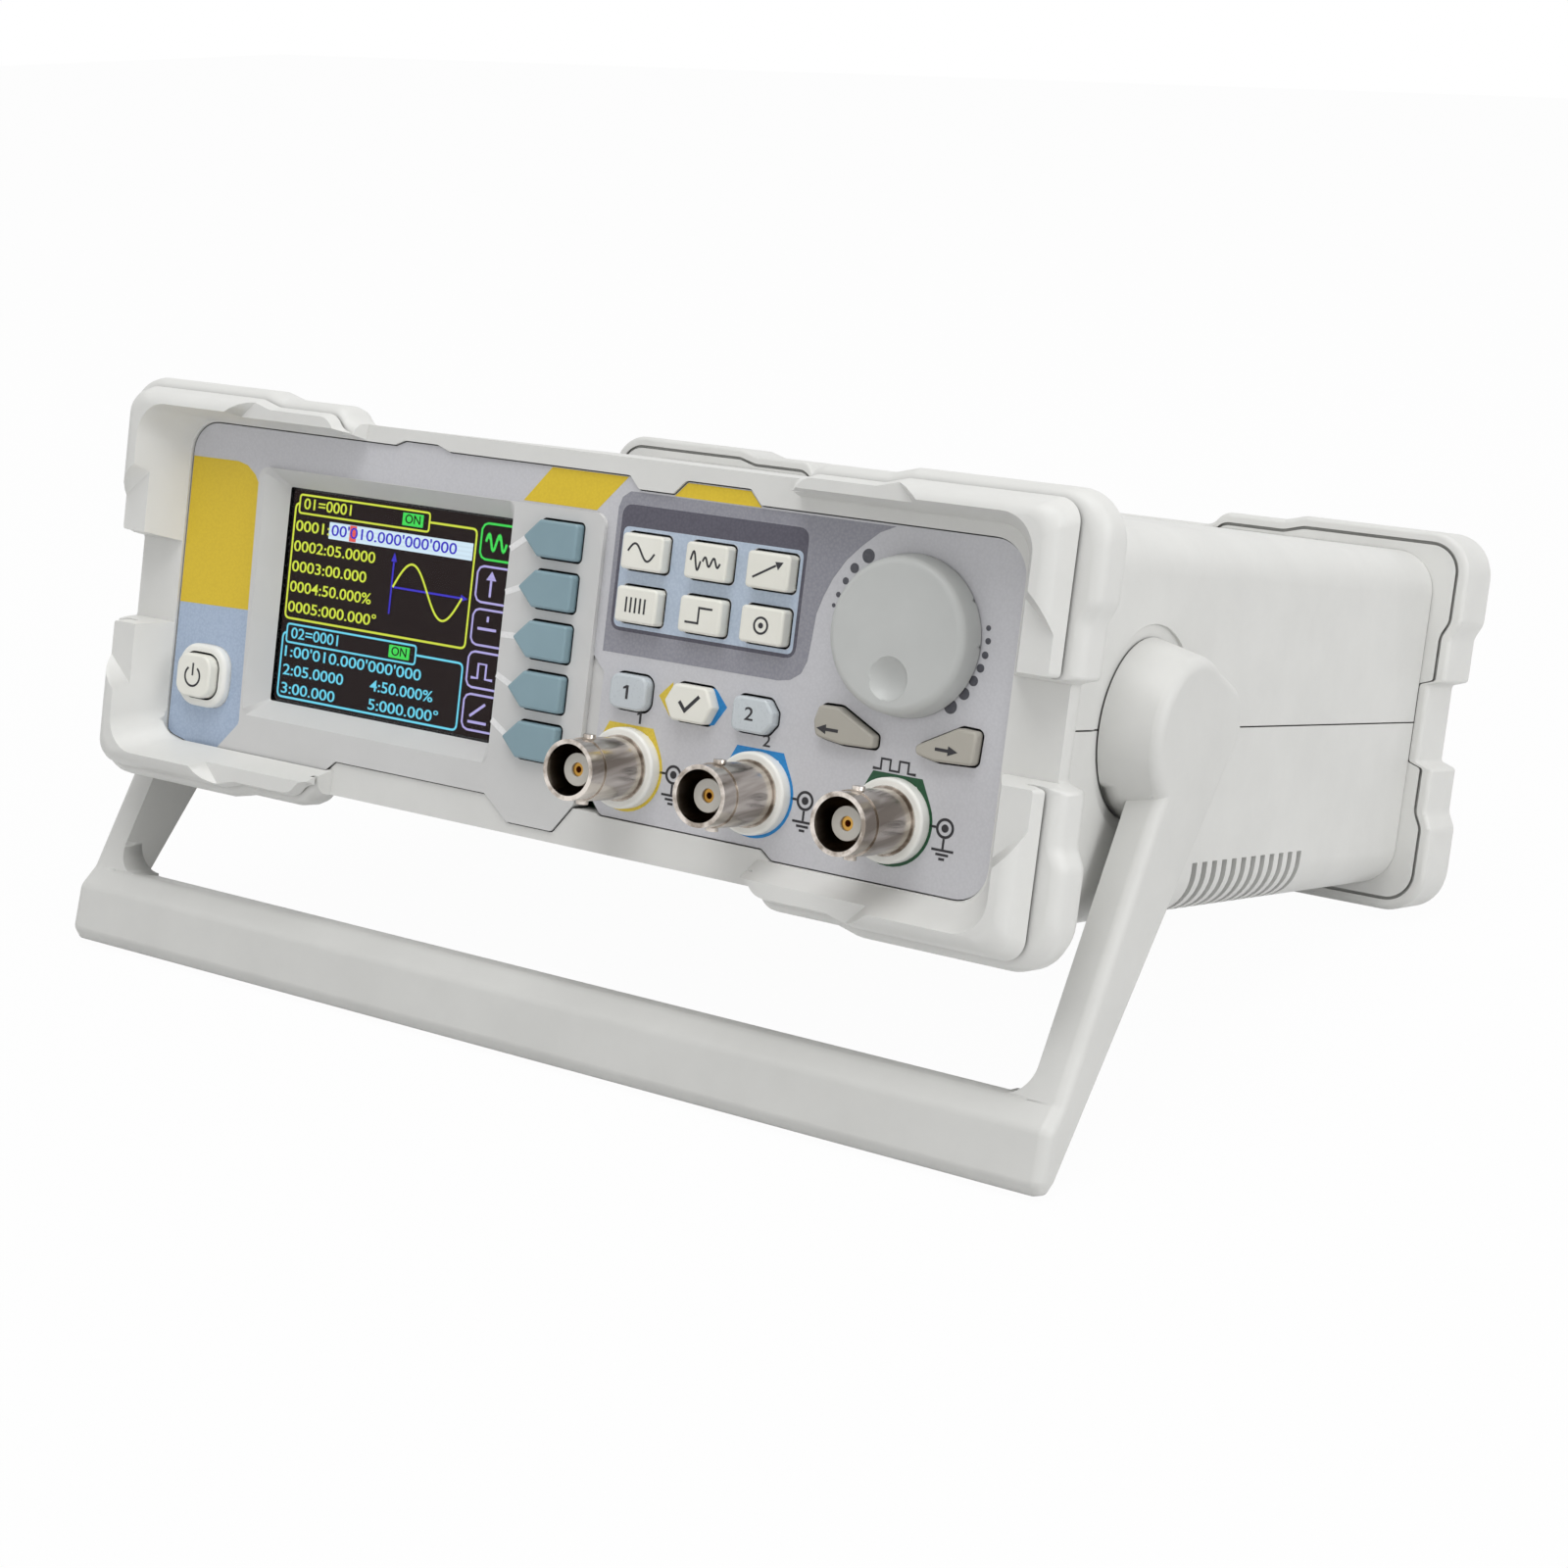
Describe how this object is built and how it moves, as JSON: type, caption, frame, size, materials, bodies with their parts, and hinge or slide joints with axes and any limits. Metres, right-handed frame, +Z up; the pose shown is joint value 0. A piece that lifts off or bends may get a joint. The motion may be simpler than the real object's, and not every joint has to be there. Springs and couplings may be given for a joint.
{
  "type": "function generator",
  "caption": "Bench signal generator with a small screen, push keys, a dimpled control knob, bayonet output jacks and a folding bail that props it up.",
  "frame": {"origin": "middle of the bounding box's underside, on the surface the object stands on", "axes": "+X to the right as seen from the front, +Y from the front face towards the back, +Z up; the body leans back on its bail"},
  "size_m": [0.202, 0.184, 0.1008],
  "materials": {
    "body_shell": "fine moulded texture",
    "cover": "fine moulded texture",
    "bail": "fine moulded texture",
    "panel": "satin plastic",
    "sheet": "printed satin film",
    "window": "clear window",
    "lcd": "display glass",
    "board": "circuit board",
    "components": "component bodies",
    "switches": "switch bodies",
    "encoder_body": "plated",
    "shaft": "turned",
    "knob": "satin grey",
    "soft_keys": "blue-grey",
    "function_keys": "ivory",
    "channel_keys": "smoky translucent",
    "arrow_keys": "warm grey",
    "key_ring": "white",
    "jack": "nickel plated",
    "collar": "white",
    "insulator": "white resin",
    "contact": "brass",
    "sink": "extruded",
    "rear_plate": "painted",
    "screws": "zinc plated",
    "fan": "black",
    "rotor": "black",
    "inlet": "black",
    "pins": "nickel-plated brass",
    "rocker": "black",
    "usb": "plated shell",
    "washers": "nylon"
  },
  "bodies": {
    "case": {"bottom_cover": "cover", "counter_jack": "jack", "cover_screws": "screws", "encoder": "encoder_body", "fan_frame": "fan", "friction_washers": "washers", "front_bezel": "body_shell", "front_panel": "panel", "heat_sink": "sink", "inlet_pins": "pins", "jack_collars": "collar", "jack_contacts": "contact", "jack_insulators": "insulator", "key_board": "board", "key_switches": "switches", "lcd_module": "lcd", "main_board": "board", "main_board_parts": "components", "mains_inlet": "inlet", "output_jack_1": "jack", "output_jack_2": "jack", "panel_sheet": "sheet", "power_board": "board", "power_board_parts": "components", "power_key_ring": "key_ring", "rear_bezel": "body_shell", "rear_panel": "rear_plate", "rear_screws": "screws", "screen_window": "window", "switch_housing": "inlet", "top_cover": "cover", "trigger_jack": "jack", "usb_socket": "usb"},
    "bail": {"handle": "bail", "pivot_screws": "screws"},
    "knob_body": {"knob": "knob", "encoder_shaft": "shaft"},
    "rotor": {"fan_rotor": "rotor"},
    "rocker": {"rocker_switch": "rocker"},
    "arrow_key_left": {"arrow_key_left": "arrow_keys"},
    "arrow_key_right": {"arrow_key_right": "arrow_keys"},
    "channel_key_1": {"channel_key_1": "channel_keys"},
    "channel_key_2": {"channel_key_2": "channel_keys"},
    "function_key_1": {"function_key_1": "function_keys"},
    "function_key_2": {"function_key_2": "function_keys"},
    "function_key_3": {"function_key_3": "function_keys"},
    "function_key_4": {"function_key_4": "function_keys"},
    "function_key_5": {"function_key_5": "function_keys"},
    "function_key_6": {"function_key_6": "function_keys"},
    "ok_key": {"ok_key": "function_keys"},
    "power_key": {"power_key": "function_keys"},
    "soft_key_1": {"soft_key_1": "soft_keys"},
    "soft_key_2": {"soft_key_2": "soft_keys"},
    "soft_key_3": {"soft_key_3": "soft_keys"},
    "soft_key_4": {"soft_key_4": "soft_keys"},
    "soft_key_5": {"soft_key_5": "soft_keys"}
  },
  "joints": [
    {"name": "bail_hinge", "type": "hinge", "parent": "case", "child": "bail", "pos_m": [0, -0.04424, 0.06001], "axis": [-1, 0, 0], "range_deg": [-77, 3]},
    {"name": "knob_turn", "type": "hinge", "parent": "case", "child": "knob_body", "pos_m": [0.066, -0.07038, 0.07621], "axis": [0, 0.9788, -0.2049], "continuous": true},
    {"name": "rotor_spin", "type": "hinge", "parent": "case", "child": "rotor", "pos_m": [-0.002, 0.0694, 0.03623], "axis": [0, 0.9788, -0.2049], "continuous": true},
    {"name": "rocker_tip", "type": "hinge", "parent": "case", "child": "rocker", "pos_m": [-0.036, 0.07331, 0.03541], "axis": [-1, 0, 0], "range_deg": [0, 18]},
    {"name": "arrow_key_left_press", "type": "slide", "parent": "case", "child": "arrow_key_left", "axis": [0, 0.9788, -0.2049], "range_m": [0, 0.0006], "stiffness_N_per_m": 800, "springref_m": -0.0008},
    {"name": "arrow_key_right_press", "type": "slide", "parent": "case", "child": "arrow_key_right", "axis": [0, 0.9788, -0.2049], "range_m": [0, 0.0006], "stiffness_N_per_m": 800, "springref_m": -0.0008},
    {"name": "channel_key_1_press", "type": "slide", "parent": "case", "child": "channel_key_1", "axis": [0, 0.9788, -0.2049], "range_m": [0, 0.0006], "stiffness_N_per_m": 800, "springref_m": -0.0008},
    {"name": "channel_key_2_press", "type": "slide", "parent": "case", "child": "channel_key_2", "axis": [0, 0.9788, -0.2049], "range_m": [0, 0.0006], "stiffness_N_per_m": 800, "springref_m": -0.0008},
    {"name": "function_key_1_press", "type": "slide", "parent": "case", "child": "function_key_1", "axis": [0, 0.9788, -0.2049], "range_m": [0, 0.0006], "stiffness_N_per_m": 800, "springref_m": -0.0008},
    {"name": "function_key_2_press", "type": "slide", "parent": "case", "child": "function_key_2", "axis": [0, 0.9788, -0.2049], "range_m": [0, 0.0006], "stiffness_N_per_m": 800, "springref_m": -0.0008},
    {"name": "function_key_3_press", "type": "slide", "parent": "case", "child": "function_key_3", "axis": [0, 0.9788, -0.2049], "range_m": [0, 0.0006], "stiffness_N_per_m": 800, "springref_m": -0.0008},
    {"name": "function_key_4_press", "type": "slide", "parent": "case", "child": "function_key_4", "axis": [0, 0.9788, -0.2049], "range_m": [0, 0.0006], "stiffness_N_per_m": 800, "springref_m": -0.0008},
    {"name": "function_key_5_press", "type": "slide", "parent": "case", "child": "function_key_5", "axis": [0, 0.9788, -0.2049], "range_m": [0, 0.0006], "stiffness_N_per_m": 800, "springref_m": -0.0008},
    {"name": "function_key_6_press", "type": "slide", "parent": "case", "child": "function_key_6", "axis": [0, 0.9788, -0.2049], "range_m": [0, 0.0006], "stiffness_N_per_m": 800, "springref_m": -0.0008},
    {"name": "ok_key_press", "type": "slide", "parent": "case", "child": "ok_key", "axis": [0, 0.9788, -0.2049], "range_m": [0, 0.0006], "stiffness_N_per_m": 800, "springref_m": -0.0008},
    {"name": "power_key_press", "type": "slide", "parent": "case", "child": "power_key", "axis": [0, 0.9788, -0.2049], "range_m": [0, 0.0024], "stiffness_N_per_m": 400, "springref_m": -0.0012},
    {"name": "soft_key_1_press", "type": "slide", "parent": "case", "child": "soft_key_1", "axis": [0, 0.9788, -0.2049], "range_m": [0, 0.0006], "stiffness_N_per_m": 800, "springref_m": -0.0008},
    {"name": "soft_key_2_press", "type": "slide", "parent": "case", "child": "soft_key_2", "axis": [0, 0.9788, -0.2049], "range_m": [0, 0.0006], "stiffness_N_per_m": 800, "springref_m": -0.0008},
    {"name": "soft_key_3_press", "type": "slide", "parent": "case", "child": "soft_key_3", "axis": [0, 0.9788, -0.2049], "range_m": [0, 0.0006], "stiffness_N_per_m": 800, "springref_m": -0.0008},
    {"name": "soft_key_4_press", "type": "slide", "parent": "case", "child": "soft_key_4", "axis": [0, 0.9788, -0.2049], "range_m": [0, 0.0006], "stiffness_N_per_m": 800, "springref_m": -0.0008},
    {"name": "soft_key_5_press", "type": "slide", "parent": "case", "child": "soft_key_5", "axis": [0, 0.9788, -0.2049], "range_m": [0, 0.0006], "stiffness_N_per_m": 800, "springref_m": -0.0008}
  ]
}
